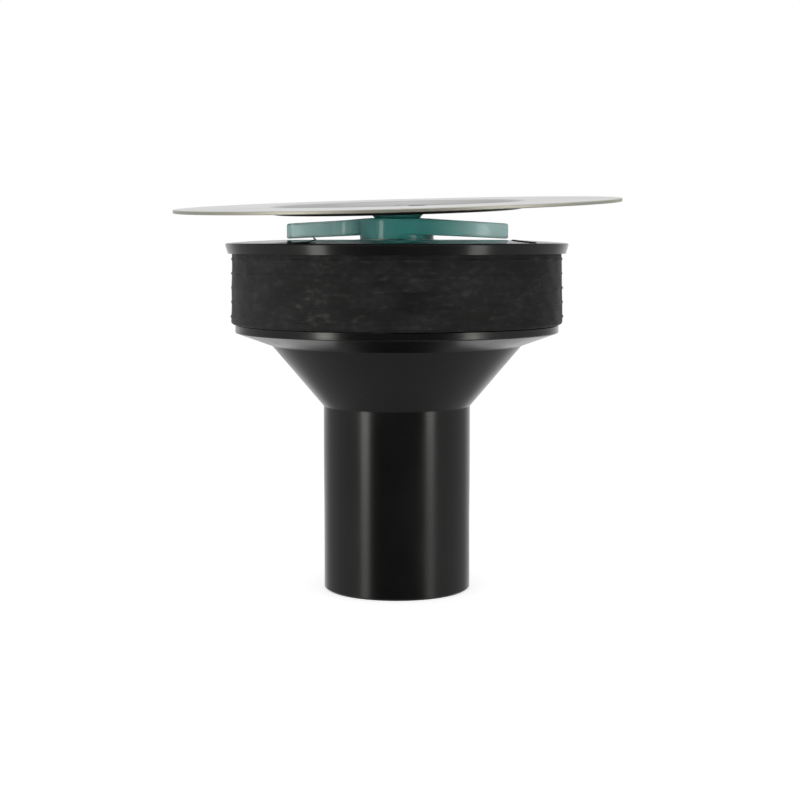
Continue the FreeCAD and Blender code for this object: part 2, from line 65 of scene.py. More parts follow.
# Steps of the new meshes, and the angle at which their edges turn sharp
SLEEVE_STEPS_ROUND = 288
SLEEVE_STEPS_UP = 170
SLEEVE_EDGE_STEPS = 8
SLEEVE_CREASE = math.radians(40)
BOLT_STEPS_ROUND = 96
BOLT_HEAD_STEPS = 12
BOLT_STEPS_PER_PITCH = 8
BOLT_CREASE = math.radians(30)
FLASH_STEPS_ALONG = 90
FLASH_STEPS_ROUND = 12
FLASH_CREASE = math.radians(60)
MERGE_DISTANCE = 1e-8

# Waves that wear the sleeve's lips and let its wall wander
SLEEVE_SEED = 7
LIP_WAVES = 9
LIP_WAVE_TURNS = (3, 34)
LIP_LEFT = 0.55
LIP_WEAR = 0.5
WALL_WAVES = 14
WALL_WAVE_TURNS = (2, 40)
WALL_WAVE_RISE = 900

# How bluntly a thread of flash ends, and how late it stands up
FLASH_END_POWER = 8
FLASH_LIFT_POWER = 5

# Reach of the bolt neck's cut corners, as a share of half its side
NECK_CORNER = 1.3

# Stretch of the fine rings that the mould leaves
BODY_RINGS = (0.3, 0.3, 40)
COVER_RINGS = (0.3, 0.3, 12)
FLASH_RINGS = (1, 1, 1)

# Axes of a distance from an upright line, and how fine the noise of the patches is
ACROSS = (1, 1, 0)
NOISE_DETAIL = 5.0

# Roughness of the finishes, from where a mask is none to where it is one
RUBBER_ROUGHNESS = (0.56, 0.72)
TEAL_ROUGHNESS = (0.3, 0.4)
MARGIN_ROUGHNESS = (0.26, 0.3)
SMEARED_ROUGHNESS = 0.32
DISH_ROUGHNESS = (0.38, 0.46)
RIM_ROUGHNESS = 0.5
ZINC_ROUGHNESS = (0.28, 0.5)

# Heights of the bumps in the finishes, in metres
MOULD_RING_HEIGHT = 5.0e-6
PLASTIC_GRAIN_HEIGHT = 0.6e-6
RUBBER_LINE_HEIGHT = 1.2e-5
RUBBER_SPECKLE_HEIGHT = 1.2e-5
RUBBER_GRAIN_HEIGHT = 1.8e-5
TEAL_CLOUD_HEIGHT = 6.0e-6
TEAL_GRAIN_HEIGHT = 1.2e-6
SCRATCH_DEPTH = 0.8e-6
ZINC_GRAIN_HEIGHT = 1.5e-6

# Shares of bloom, of the paler bloom on the left side that is painted light, and of scuffs on the rubber,
# from where a mask is none to where it is one
BLOOM_BY_SPECKLE = (0.4, 1.0)
BLOOM_SHARE = 0.7
SIDE_LIGHT_BY_DISTANCE = (1.0, 0.0)
SIDE_LIGHT_BY_BLOOM = (0.35, 1.0)
SCUFF_BY_SPECKLE = (0.2, 1.0)
SCUFF_BY_DISTANCE = (0.9, 0.34)

# Spans of a direction's Y or Z over which one part of the room passes into the next
FRONT_TO_SIDE_Y = (-0.92, -0.4)
SIDE_TO_PAPER_Y = (0.65, 1.0)
FRONT_WALL_Z = (0.08, 0.26)
BELOW_Z = (-1.0, -0.4)
CEILING_Z = (0.3, 0.65)

# Height on a soft box's face and the brightness there: as a share of its foot's, and then of its own
SOFT_BOX_FOOT = ((0.0, 1.0), (0.2, 1.4), (0.28, 2.6))
SOFT_BOX_BAND = ((0.36, 0.5), (0.45, 1.0), (0.47, 1.0), (0.53, 0.1))


def colour(name, description, default):
    """A colour that a user may change."""
    return FloatVectorProperty(name=name, description=description, default=default, subtype="COLOR",
                               min=0, max=1)


def length(name, description, default):
    """A length in metres that a user may change."""
    return FloatProperty(name=name, description=description, default=default, unit="LENGTH", precision=5)


def angle(name, description, degrees):
    """An angle that a user may change, given in degrees."""
    return FloatProperty(name=name, description=description, default=math.radians(degrees), subtype="ANGLE")


def place(name, description, default):
    """A place in metres that a user may change."""
    return FloatVectorProperty(name=name, description=description, default=default, subtype="TRANSLATION",
                               unit="LENGTH", precision=5)


def level(name, description, default):
    """A brightness, where 1 is white, or another number that isn't negative."""
    return FloatProperty(name=name, description=description, default=default, min=0)


class StageSettings(bpy.types.PropertyGroup):
    """Camera, lamps and backdrop."""

    camera_distance: length("Camera distance", "From the drain's axis to the lens", 0.46492)
    camera_height: length("Camera height", "Above the spigot's lower end", 0.09628)
    camera_offset: length("Camera offset", "To the right of the drain's axis", 0.00085)
    camera_pitch: angle("Camera pitch", "How far the camera looks down", 5.477)
    camera_lens: FloatProperty(name="Lens", description="Focal length", default=76.77, unit="CAMERA")
    lamp_distance: length("Lamp distance", "From the drain's axis to the soft boxes", 1.2)
    lamp_width: length("Lamp width", "Width of the soft boxes at the sides", 0.27)
    lamp_low: length("Lamp bottom", "Height of the soft boxes' lower edges", -0.4)
    lamp_high: length("Lamp top", "Height of the soft boxes' upper edges", 0.7)
    lamp_colour: colour("Lamp colour", "Slightly warm light of the soft boxes", (1.0, 0.985, 0.925))
    left_turn: angle("Left lamp", "Turn of the left soft box from the camera's side", 50)
    left_glow_turn: angle("Left glow", "Turn of the lit table under the left soft box", 57)
    left_level: level("Left lamp level", "Brightness of the left soft box", 9.6)
    left_foot: level("Left lamp foot", "Share of that brightness at the left soft box's foot", 0.1)
    right_turn: angle("Right lamp", "Turn of the right soft box from the camera's side", 53)
    right_glow_turn: angle("Right glow", "Turn of the lit table under the right soft box", 58.5)
    right_level: level("Right lamp level", "Brightness of the right soft box", 7.8)
    right_foot: level("Right lamp foot", "Share of that brightness at the right soft box's foot", 0.075)
    glow_height: length("Glow height", "Height of the lit table's patch under each soft box", 0.4)
    glow_share: level("Glow share", "Brightness of that patch, as a share of its soft box", 0.33)
    top_height: length("Top lamp height", "Height of the lamp overhead", 1.3)
    top_forward: length("Top lamp offset", "From the axis towards the camera, to the lamp overhead", 0.3)
    top_width: length("Top lamp width", "Side of the square lamp overhead", 1.2)
    top_level: level("Top lamp level", "Brightness of the lamp overhead", 0.3)
    fill_distance: length("Fill lamp distance", "From the axis to the low lamp in front", 1.0)
    fill_width: length("Fill lamp width", "Width of the low lamp in front", 0.8)
    fill_height: length("Fill lamp height", "Height of the low lamp in front", 0.16)
    fill_level: level("Fill lamp level", "Brightness of the low lamp in front", 13.0)
    front_level: level("Front level", "Brightness of the dark room behind the camera", 0.06)
    front_high_level: level("Front wall level", "Brightness of the paler wall above that dark part", 0.5)
    side_level: level("Side level", "Brightness of the room at the sides", 0.42)
    back_level: level("Back level", "Brightness of the white paper behind the drain", 0.95)
    ceiling_level: level("Ceiling level", "Brightness of the pale ceiling", 0.82)
    below_level: level("Share from below", "How much of the room's brightness is left straight below", 0.7)
    floor_half: length("Floor half width", "From the axis to the floor's sides", 2.0)
    floor_lift: level("Floor lift", "White that the camera sees on top of the lit floor", 0.56)
    floor_fade: length("Floor fade", "From the axis to where the floor fades to white", 0.16)
    floor_colour: colour("Floor colour", "Plain pale floor", (0.86, 0.86, 0.86))


class PlasticSettings(bpy.types.PropertyGroup):
    """The black mouldings and the teal ones."""

    black: colour("Black", "Body and cover", (0.0022, 0.0022, 0.0021))
    black_dull: colour("Dull black", "The same where hands have dulled it", (0.0036, 0.0035, 0.0034))
    body_roughness: level("Body roughness", "Of the body, where 0 is a mirror", 0.2)
    cover_roughness: level("Cover roughness", "Of the cover, where 0 is a mirror", 0.17)
    flash_roughness: level("Flash roughness", "Of the torn flash, where 0 is a mirror", 0.45)
    smudge_roughness: level("Smudge roughness", "How much rougher the dull smudges are", 0.08)
    teal: colour("Teal", "Wing nut and boss", (0.035, 0.215, 0.196))
    teal_cloud: colour("Cloudy teal", "Cloudy streaks in the teal", (0.065, 0.29, 0.27))
    # Painted highlight: the pale colour of the wings' ends stands in for the lamps' sheen on them, more on
    # the left wing
    teal_tip_highlight: colour("Teal sheen", "Paler ends of the wings, a painted sheen", (0.45, 0.67, 0.65))
    teal_depth: length("Teal depth", "How far light goes through the teal", 0.003)
    painted_sheen_centre: place("Sheen centre", "Middle of the teal, away from the painted sheen", (0.0028, 0, 0))
    painted_sheen_from: length("Sheen from", "From there to the middle of the change to the paler ends", 0.0175)
    painted_sheen_fade: length("Sheen fade", "Half the width of that change", 0.009)


class FlashSettings(bpy.types.PropertyGroup):
    """Two torn threads of moulding flash on the cover; each lies on an arc of an ellipse."""

    radius: length("Thread radius", "Half the thickness of a thread", 0.0002)
    knot: level("Knot", "How much thicker the left thread is near its first end", 1.0)
    knot_place: level("Knot place", "Middle of the knot, as a share of the thread's length", 0.08)
    knot_width: level("Knot width", "Half the knot's width, as a share of that length", 0.06)
    waviness: level("Waviness", "How much a thread wavers, as a share of its ellipse", 0.06)
    waver_run: level("Waver run", "Radians of that waver along a thread", 33.0)
    left_place: place("Left thread", "Middle of the left thread's ellipse", (-0.024, -0.033, 0))
    left_half: place("Left half axes", "Half the width and depth of that ellipse", (0.0034, 0.0052, 0))
    left_from: angle("Left thread's start", "Where on the ellipse the left thread starts", -40)
    left_to: angle("Left thread's end", "Where on the ellipse the left thread ends", 222)
    left_lift: length("Left lift", "How far the left thread's end stands up", 0.0011)
    right_place: place("Right thread", "Middle of the right thread's ellipse", (0.0364, -0.0175, 0))
    right_half: place("Right half axes", "Half the width and depth of that ellipse", (0.006, 0.0104, 0))
    right_from: angle("Right thread's start", "Where on the ellipse the right thread starts", 0)
    right_to: angle("Right thread's end", "Where on the ellipse the right thread ends", 84)


class SleeveSettings(bpy.types.PropertyGroup):
    """The rubber sleeve between flange and cover."""

    bore_radius: length("Bore radius", "Inside of the sleeve, over the collar", 0.03825)
    top_radius: length("Top radius", "Outside at the cover", 0.04455)
    bottom_radius: length("Bottom radius", "Outside at the flange", 0.0449)
    edge_round: length("Edge round", "Round of the lower edge", 0.0009)
    lip_count: IntProperty(name="Lips", description="Fine lips round the outside", default=5, min=0)
    lip_drop: length("First lip", "From the top to the first lip", 0.00145)
    lip_pitch: length("Lip pitch", "From lip to lip", 0.00385)
    lip_proud: length("Lip height", "How far a lip stands out", 0.00025)
    lip_width: length("Lip width", "Width of a lip at its root", 0.0009)
    wave: length("Unevenness", "How far the moulded wall wanders", 0.00006)
    black: colour("Rubber", "Black rubber", (0.0028, 0.0028, 0.0029))
    bloom: colour("Bloom", "Pale bloom on the rubber", (0.0245, 0.0245, 0.0247))
    # Painted light: the bloom is painted paler on the left side, where the left lamp falls more
    paler_side_bloom: colour("Side light", "Bloom painted paler on the lit side", (0.033, 0.033, 0.0335))
    scuffed: colour("Scuffed rubber", "Scuffs on the rubber", (0.042, 0.042, 0.039))
    side_light_place: place("Lit side", "Middle of the side with the painted light", (-0.042, -0.016, 0.079))
    side_light_reach: length("Chalky reach", "How far the painted light reaches", 0.042)
    worn_place: place("Worn spot", "Middle of the spot where the scuffs gather", (-0.0225, -0.0389, 0.0765))
    worn_reach: length("Worn reach", "How far the worn spot reaches", 0.011)


class SteelSettings(bpy.types.PropertyGroup):
    """The pressed plate and the fasteners."""

    plate: colour("Plate", "Stainless steel of the plate's margin", (0.63, 0.63, 0.62))
    plate_cool: colour("Cool plate", "Bluer bands of the plate's margin", (0.61, 0.62, 0.645))
    plate_smeared: colour("Smeared plate", "Steel where hands have smeared it", (0.58, 0.58, 0.57))
    dish: colour("Dish", "Steel of the pressed dish", (0.53, 0.535, 0.525))
    dish_smeared: colour("Smeared dish", "Smeared steel of the dish", (0.45, 0.455, 0.445))
    dish_radius: length("Dish radius", "Where the dish's wall meets the margin", 0.0345)
    dish_fade: length("Dish fade", "Half the width of the change from dish to margin", 0.0006)
    # Painted shade: the punched holes and a thin ring round each are painted dark, as the shade inside them
    hole_shade: colour("Hole shade", "Painted shade in and round the punched holes", (0.05, 0.05, 0.048))
    hole_count: IntProperty(name="Plate holes", description="Punched holes of the dish", default=6, min=1)
    hole_start: angle("First plate hole", "Turn of the first punched hole", 19.5)
    hole_circle: length("Hole circle", "From the axis to the punched holes", 0.027)
    hole_shade_radius: length("Hole radius", "Of a punched hole, and a little more", 0.0036)
    hole_shade_fade: length("Hole fade", "Half the width of the change at a hole's edge", 0.0003)
    rim: colour("Rim", "Cut edge of the plate", (0.62, 0.61, 0.53))
    rim_width: length("Rim width", "How far the look of the cut edge reaches in", 0.0003)
    rim_fade: length("Rim fade", "Half the width of the change to it", 0.0002)
    zinc: colour("Zinc", "Plated bolt, nut and washer", (0.52, 0.52, 0.50))
    zinc_dark: colour("Dark zinc", "Plating in dull patches", (0.34, 0.34, 0.33))
    bolt_radius: length("Bolt radius", "Outside of the thread", 0.003)
    head_radius: length("Bolt head radius", "Low round head of the bolt", 0.0068)
    head_edge: length("Bolt head edge", "Straight edge of the bolt's head", 0.0008)
    head_height: length("Bolt head height", "Whole head of the bolt", 0.0033)
    neck_side: length("Bolt neck side", "Side of the square neck at the head", 0.006)
    neck_length: length("Bolt neck length", "Length of the square neck at the head", 0.0036)
    plain_length: length("Plain shank", "Shank without thread above the neck", 0.004)
    thread_pitch: length("Thread pitch", "Rise of one turn of the thread", 0.001)
    thread_depth: length("Thread depth", "From crest to root", 0.00055)
    end_chamfer: length("Bolt end chamfer", "Bevel at the thread's end", 0.0006)


def add_node(tree, kind, inputs=None, **settings):
    """A node with its settings; an input is a value, or a socket to link from."""
    node = tree.nodes.new(kind)
    for name, value in settings.items():
        setattr(node, name, value)
    for key, value in (inputs or {}).items():
        if isinstance(value, bpy.types.NodeSocket):
            tree.links.new(value, node.inputs[key])
        else:
            node.inputs[key].default_value = value
    return node


def calculate(tree, operation, first, second):
    """The sum, product or the like of two values."""
    return add_node(tree, "ShaderNodeMath", {0: first, 1: second}, operation=operation).outputs[0]


def calculate_vector(tree, operation, first, second):
    """The sum, product or the like of two vectors."""
    return add_node(tree, "ShaderNodeVectorMath", {0: first, 1: second}, operation=operation).outputs[0]


def rise(tree, value, span, levels=(0.0, 1.0), course="SMOOTHSTEP"):
    """A level that goes from the first of two levels to the second while a value crosses a span."""
    inputs = {"Value": value, "From Min": span[0], "From Max": span[1],
              "To Min": levels[0], "To Max": levels[1]}
    return add_node(tree, "ShaderNodeMapRange", inputs, interpolation_type=course).outputs["Result"]


def new_group(name, inputs, output):
    """An empty node group with its sockets, and its two end nodes."""
    tree = bpy.data.node_groups.new(name, "ShaderNodeTree")
    for socket, kind, value in inputs:
        tree.interface.new_socket(name=socket, in_out="INPUT", socket_type=kind).default_value = value
    tree.interface.new_socket(name=output, in_out="OUTPUT", socket_type="NodeSocketFloat")
    given = tree.nodes.new("NodeGroupInput").outputs
    return tree, given, tree.nodes.new("NodeGroupOutput").inputs[output]


def build_patches():
    """Mask of soft patches: noise on coordinates that are stretched along the piece's own axes, rising
    smoothly from a low level to a high one."""
    tree, given, result = new_group(
        "surface_patches",
        [("Vector", "NodeSocketVector", (0, 0, 0)), ("Stretch", "NodeSocketVector", (1, 1, 1)),
         ("Scale", "NodeSocketFloat", 100.0), ("Low", "NodeSocketFloat", 0.4),
         ("High", "NodeSocketFloat", 0.6)], "Mask")
    stretched = calculate_vector(tree, "MULTIPLY", given["Vector"], given["Stretch"])
    noise = add_node(tree, "ShaderNodeTexNoise",
                     {"Vector": stretched, "Scale": given["Scale"], "Detail": NOISE_DETAIL})
    tree.links.new(rise(tree, noise.outputs["Fac"], (given["Low"], given["High"])), result)
    return tree


def build_zone():
    """Mask that rises smoothly from none to one where the distance from a centre, along chosen axes, passes
    an edge."""
    tree, given, result = new_group(
        "distance_zone",
        [("Vector", "NodeSocketVector", (0, 0, 0)), ("Centre", "NodeSocketVector", (0, 0, 0)),
         ("Axes", "NodeSocketVector", (1, 1, 1)), ("Edge", "NodeSocketFloat", 0.01),
         ("Soft", "NodeSocketFloat", 0.001)], "Mask")
    away = calculate_vector(tree, "SUBTRACT", given["Vector"], given["Centre"])
    along = calculate_vector(tree, "MULTIPLY", away, given["Axes"])
    far = add_node(tree, "ShaderNodeVectorMath", {0: along}, operation="LENGTH").outputs["Value"]
    inner = calculate(tree, "SUBTRACT", given["Edge"], given["Soft"])
    outer = calculate(tree, "ADD", given["Edge"], given["Soft"])
    tree.links.new(rise(tree, far, (inner, outer)), result)
    return tree


class Finish:
    """A material with a Principled shader on the piece's own coordinates, and short ways to feed it."""

    def __init__(self, name):
        self.material = bpy.data.materials.new(name)
        self.material.use_nodes = True
        self.tree = self.material.node_tree
        self.tree.nodes.clear()
        self.output = self.tree.nodes.new("ShaderNodeOutputMaterial")
        self.shader = self.tree.nodes.new("ShaderNodeBsdfPrincipled")
        self.tree.links.new(self.shader.outputs["BSDF"], self.output.inputs["Surface"])
        self.place = self.tree.nodes.new("ShaderNodeTexCoord").outputs["Object"]

    def set(self, **values):
        """Set the shader's own sockets to plain values."""
        for name, value in values.items():
            socket = name.replace("_", " ").title().replace("Ior", "IOR")
            self.shader.inputs[socket].default_value = value

    def feed(self, socket, source):
        """Link a source to one of the shader's sockets."""
        self.tree.links.new(source, self.shader.inputs[socket])

    def mask(self, build, **values):
        """One of the shared masks with its own values."""
        name = {build_patches: "surface_patches", build_zone: "distance_zone"}[build]
        node = add_node(self.tree, "ShaderNodeGroup", node_tree=bpy.data.node_groups.get(name) or build())
        self.tree.links.new(self.place, node.inputs["Vector"])
        for key, value in values.items():
            node.inputs[key.title()].default_value = value
        return node.outputs["Mask"]

    def mix(self, share, first, second):
        """A colour between two, by a mask; the node's sockets 6 and 7 are its colours, 2 is their mix."""
        node = add_node(self.tree, "ShaderNodeMix", data_type="RGBA")
        self.tree.links.new(share, node.inputs["Factor"])
        for socket, value in ((node.inputs[6], first), (node.inputs[7], second)):
            if isinstance(value, bpy.types.NodeSocket):
                self.tree.links.new(value, socket)
            else:
                socket.default_value = (*value, 1)
        return node.outputs[2]

    def blend(self, share, first, second):
        """A value between two, of which each is a mask or a number, by a mask; the node's sockets 2 and 3
        are its values."""
        node = add_node(self.tree, "ShaderNodeMix", {0: share, 2: first, 3: second}, data_type="FLOAT")
        return node.outputs[0]

    def between(self, share, low, high):
        """A value between two numbers, by a mask."""
        return rise(self.tree, share, (0.0, 1.0), (low, high), "LINEAR")

    def product(self, first, second):
        """The product of two masks, or of a mask and a number."""
        return calculate(self.tree, "MULTIPLY", first, second)

    def bump(self, *layers):
        """Lay bumps over each other; each layer is a mask and its height in metres."""
        normal = None
        for mask, height in layers:
            node = add_node(self.tree, "ShaderNodeBump", {"Height": mask, "Distance": height})
            if normal is not None:
                self.tree.links.new(normal, node.inputs["Normal"])
            normal = node.outputs["Normal"]
        self.feed("Normal", normal)


def black_finish(name, settings, roughness, rings_stretch):
    """Glossy black moulding: dull smudges, fine rings from the mould, and a faint grain."""
    finish = Finish(name)
    smudge = finish.mask(build_patches, scale=55, stretch=(1, 1, 0.6), low=0.42, high=0.72)
    rings = finish.mask(build_patches, scale=60, stretch=rings_stretch, low=0.3, high=0.7)
    grain = finish.mask(build_patches, scale=2600, low=0.3, high=0.7)
    finish.feed("Base Color", finish.mix(smudge, settings.black, settings.black_dull))
    finish.feed("Roughness", finish.between(smudge, roughness, roughness + settings.smudge_roughness))
    finish.bump((rings, MOULD_RING_HEIGHT), (grain, PLASTIC_GRAIN_HEIGHT))
    return finish.material


def rubber_finish(settings):
    """Matte rubber: drawn lines round the wall, mottled bloom that is painted paler on the left side as the
    light that falls there, and scuff strokes that gather in one worn spot."""
    finish = Finish("sleeve_rubber_scuffed")
    drawn = finish.mask(build_patches, scale=45, stretch=(1, 1, 9), low=0.35, high=0.7)
    mottle = finish.mask(build_patches, scale=90, stretch=(1, 1, 2.2), low=0.34, high=0.74)
    speckle = finish.mask(build_patches, scale=520, stretch=(1, 1, 1.5), low=0.38, high=0.72)
    stroke = finish.mask(build_patches, scale=260, stretch=(1, 1, 3.6), low=0.5, high=0.72)
    grain = finish.mask(build_patches, scale=1800, low=0.25, high=0.75)
    # Painted light: the paler bloom fades out with the distance from the rubber's left side
    off_side_light = finish.mask(build_zone, centre=settings.side_light_place, edge=settings.side_light_reach / 2,
                            soft=settings.side_light_reach / 2)
    off_spot = finish.mask(build_zone, centre=settings.worn_place, edge=settings.worn_reach / 2,
                           soft=settings.worn_reach / 2)
    bloom = finish.product(mottle, finish.between(speckle, *BLOOM_BY_SPECKLE))
    bloomed = finish.mix(finish.product(bloom, BLOOM_SHARE), settings.black, settings.bloom)
    side_light_share = finish.between(off_side_light, *SIDE_LIGHT_BY_DISTANCE)
    paler_side_bloom = finish.product(side_light_share, finish.between(bloom, *SIDE_LIGHT_BY_BLOOM))
    side_lit_bloom = finish.mix(paler_side_bloom, bloomed, settings.paler_side_bloom)
    scuffs = finish.product(stroke, finish.between(speckle, *SCUFF_BY_SPECKLE))
    worn = finish.product(finish.between(off_spot, *SCUFF_BY_DISTANCE), scuffs)
    finish.feed("Base Color", finish.mix(worn, side_lit_bloom, settings.scuffed))
    finish.feed("Roughness", finish.between(mottle, *RUBBER_ROUGHNESS))
    finish.set(specular_ior_level=0.26, sheen_weight=0.07, sheen_roughness=0.3)
    finish.bump((drawn, RUBBER_LINE_HEIGHT), (speckle, RUBBER_SPECKLE_HEIGHT), (grain, RUBBER_GRAIN_HEIGHT))
    return finish.material


def teal_finish(settings):
    """Cloudy teal moulding under a glossy skin, with a painted highlight that turns the wings' ends paler,
    more on the left wing, as the lamps' sheen there.
    """
    finish = Finish("teal_moulding")
    cloud = finish.mask(build_patches, scale=70, stretch=(1, 1, 0.7), low=0.35, high=0.7)
    grain = finish.mask(build_patches, scale=900, low=0.3, high=0.7)
    # Painted highlight: paler with the distance from a centre a little right of the axis, as the lamps'
    # sheen on the wings' ends
    painted_sheen = finish.mask(build_zone, centre=settings.painted_sheen_centre, axes=ACROSS, edge=settings.painted_sheen_from,
                         soft=settings.painted_sheen_fade)
    cloudy_teal = finish.mix(cloud, settings.teal, settings.teal_cloud)
    finish.feed("Base Color", finish.mix(painted_sheen, cloudy_teal, settings.teal_tip_highlight))
    finish.feed("Roughness", finish.between(cloud, *TEAL_ROUGHNESS))
    finish.set(subsurface_weight=1.0, subsurface_scale=settings.teal_depth,
               subsurface_radius=(0.6, 1.0, 1.0), coat_weight=0.45, coat_roughness=0.16,
               specular_ior_level=0.14)
    finish.bump((cloud, TEAL_CLOUD_HEIGHT), (grain, TEAL_GRAIN_HEIGHT))
    return finish.material


def plate_finish(settings):
    """Pressed stainless sheet: a duller dish and rim, painted shade in and just round the punched holes,
    rolling lines one way, smears and a few scratches."""
    finish = Finish("plate_stainless")
    low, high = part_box("tile_plate")
    middle = (Vector(low) + Vector(high)) / 2
    rim_radius = (high[0] - low[0]) / 2 - settings.rim_width
    margin = finish.mask(build_zone, centre=middle, axes=ACROSS, edge=settings.dish_radius,
                         soft=settings.dish_fade)
    rim = finish.mask(build_zone, centre=middle, axes=ACROSS, edge=rim_radius, soft=settings.rim_fade)
    # Painted shade: a dark spot a little wider than each punched hole
    outside_hole_shade = 1.0
    for turn in settings.hole_start + 2 * math.pi * np.arange(settings.hole_count) / settings.hole_count:
        hole = middle + settings.hole_circle * Vector((math.cos(turn), math.sin(turn), 0))
        off_hole_shade = finish.mask(build_zone, centre=hole, axes=ACROSS, edge=settings.hole_shade_radius,
                               soft=settings.hole_shade_fade)
        outside_hole_shade = finish.product(off_hole_shade, outside_hole_shade)
    rolled = finish.mask(build_patches, scale=26, stretch=(0.8, 24, 1), low=0.3, high=0.7)
    smear = finish.mask(build_patches, scale=26, low=0.4, high=0.75)
    scratch = finish.mask(build_patches, scale=40, stretch=(1.2, 40, 1), low=0.66, high=0.72)
    steel = finish.mix(rolled, settings.plate, settings.plate_cool)
    worn = finish.mix(smear, steel, settings.plate_smeared)
    dish = finish.mix(finish.product(smear, rolled), settings.dish, settings.dish_smeared)
    dished = finish.mix(margin, dish, worn)
    punched = finish.mix(outside_hole_shade, settings.hole_shade, dished)
    finish.feed("Base Color", finish.mix(rim, punched, settings.rim))
    sheen = finish.blend(smear, finish.between(rolled, *MARGIN_ROUGHNESS), SMEARED_ROUGHNESS)
    dished_sheen = finish.blend(margin, finish.between(smear, *DISH_ROUGHNESS), sheen)
    finish.feed("Roughness", finish.blend(rim, dished_sheen, RIM_ROUGHNESS))
    finish.set(metallic=1.0)
    finish.bump((scratch, -SCRATCH_DEPTH))
    return finish.material


def zinc_finish(settings):
    """Dull zinc plating with darker patches."""
    finish = Finish("fastener_zinc")
    dull = finish.mask(build_patches, scale=240, low=0.4, high=0.65)
    grain = finish.mask(build_patches, scale=3200, low=0.3, high=0.7)
    finish.feed("Base Color", finish.mix(dull, settings.zinc, settings.zinc_dark))
    finish.feed("Roughness", finish.between(dull, *ZINC_ROUGHNESS))
    finish.set(metallic=1.0)
    finish.bump((grain, ZINC_GRAIN_HEIGHT))
    return finish.material


def dress(material, *nodes):
    """Give a finish to pieces of the frame."""
    for node in nodes:
        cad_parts[node].material_slots[0].material = material


def grid_object(name, points, wrap_rows, crease):
    """An object of quads over a grid of points, whose columns close on themselves; a wrapped grid's rows do
    too."""
    rows, columns = points.shape[:2]
    first_rows = np.arange(rows if wrap_rows else rows - 1)
    row, column = np.meshgrid(first_rows, np.arange(columns), indexing="ij")
    next_row = (row + 1) % rows
    next_column = (column + 1) % columns
    corners = [(row, column), (row, next_column), (next_row, next_column), (next_row, column)]
    faces = np.stack([at_row * columns + at_column for at_row, at_column in corners], axis=-1)
    mesh = bpy.data.meshes.new(name)
    mesh.from_pydata(points.reshape(-1, 3), [], faces.reshape(-1, 4))
    work = bmesh.new()
    work.from_mesh(mesh)
    bmesh.ops.remove_doubles(work, verts=work.verts, dist=MERGE_DISTANCE)
    work.to_mesh(mesh)
    work.free()
    mesh.shade_smooth()
    mesh.set_sharp_from_angle(angle=crease)
    made = bpy.data.objects.new(name, mesh)
    bpy.context.scene.collection.objects.link(made)
    return made


def thread_points(settings, middle, half, start, end, lift, knot):
    """Round profile carried along an arc of an ellipse, about its middle x = -a w cos t, y = -b w sin t,
    that lies on the cover and wavers by w = 1 + waviness sin(run s). Along the share s of its length the
    radius is r(s) = radius (1 + knot e^-((s - place) / width)^2) (1 - (2 s - 1)^8)^(1/2), and its last end
    stands up by lift s^5."""
    share = np.linspace(0, 1, FLASH_STEPS_ALONG)
    turn = start + (end - start) * share
    waver = 1 + settings.waviness * np.sin(settings.waver_run * share)
    reach = np.stack([half[0] * waver * np.cos(turn), half[1] * waver * np.sin(turn)], axis=-1)
    plan = np.array(middle)[:2] - reach
    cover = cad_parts["clamp_cover"]
    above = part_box("clamp_cover")[1].z + lift
    seat = np.array([cover.ray_cast((x, y, above), (0, 0, -1))[1].z for x, y in plan])
    bulge = knot * np.exp(-((share - settings.knot_place) / settings.knot_width) ** 2)
    thick = settings.radius * (1 + bulge) * np.sqrt(1 - (2 * share - 1) ** FLASH_END_POWER)
    path = np.column_stack([plan, seat + settings.radius / 2 + lift * share ** FLASH_LIFT_POWER])
    along = np.gradient(path, axis=0)
    along /= np.linalg.norm(along, axis=1, keepdims=True)
    side = np.cross(along, (0, 0, 1))
    side /= np.linalg.norm(side, axis=1, keepdims=True)
    up = np.cross(side, along)
    round_turn = np.linspace(0, 2 * math.pi, FLASH_STEPS_ROUND, endpoint=False)[:, None]
    ring = side[:, None] * np.cos(round_turn) - up[:, None] * np.sin(round_turn)
    return path[:, None] + thick[:, None, None] * ring


def turned(radii, heights, turn):
    """Points about the axis: radius and height for each row, at each angle of turn."""
    level_heights = np.broadcast_to(heights, radii.shape)
    return np.stack([radii * np.cos(turn), radii * np.sin(turn), level_heights], axis=-1)


